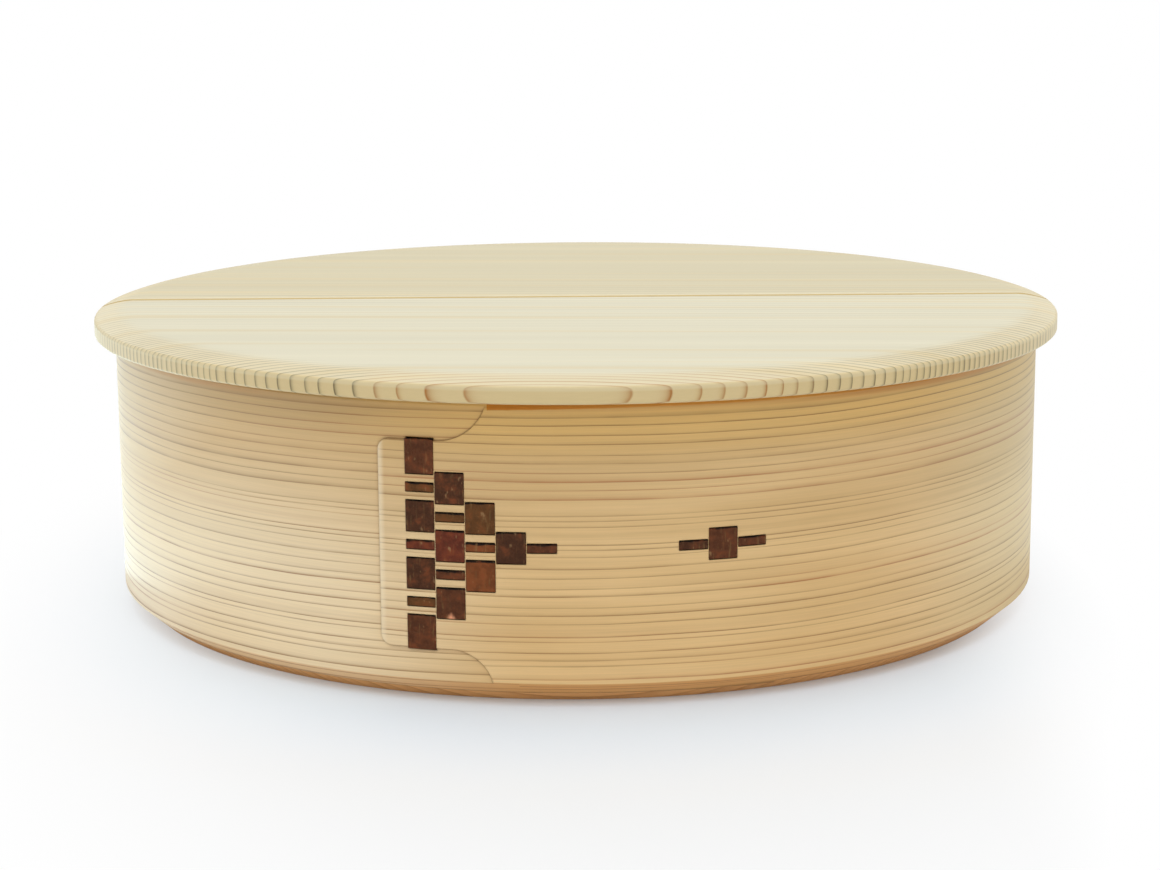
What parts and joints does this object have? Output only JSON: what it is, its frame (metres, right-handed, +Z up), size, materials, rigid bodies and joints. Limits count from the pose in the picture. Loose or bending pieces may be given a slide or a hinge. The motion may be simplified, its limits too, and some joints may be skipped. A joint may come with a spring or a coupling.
{
  "type": "hangiri sushi rice tub",
  "caption": "Low round tub of bent wood for dressing and serving rice, with a flat split lid that overhangs the rim. The lapped wall is sewn with bark.",
  "frame": {"origin": "middle of the base board's underside, where the tub rests", "axes": "+Z up through the middle of the lid, -Y to the front with the sewn lap, +X to the right along the gap between the lid's halves"},
  "size_m": [0.316, 0.316, 0.0956],
  "materials": {
    "cedar_wall": "planed, unfinished",
    "cedar_base": "planed, unfinished",
    "cedar_lid": "planed, unfinished",
    "cedar_batten": "planed, unfinished",
    "cherry_bark": "polished bark"
  },
  "bodies": {
    "root": {"bent_wall": "cedar_wall", "base_board": "cedar_base", "lid_front": "cedar_lid", "lid_rear": "cedar_lid", "batten_front_left": "cedar_batten", "batten_front_right": "cedar_batten", "batten_rear_left": "cedar_batten", "batten_rear_right": "cedar_batten", "bark_column_1": "cherry_bark", "bark_column_2": "cherry_bark", "bark_column_3": "cherry_bark", "bark_column_4": "cherry_bark", "bark_column_5": "cherry_bark", "bark_tie_1": "cherry_bark", "bark_tie_2": "cherry_bark", "bark_tie_3": "cherry_bark"}
  },
  "joints": []
}
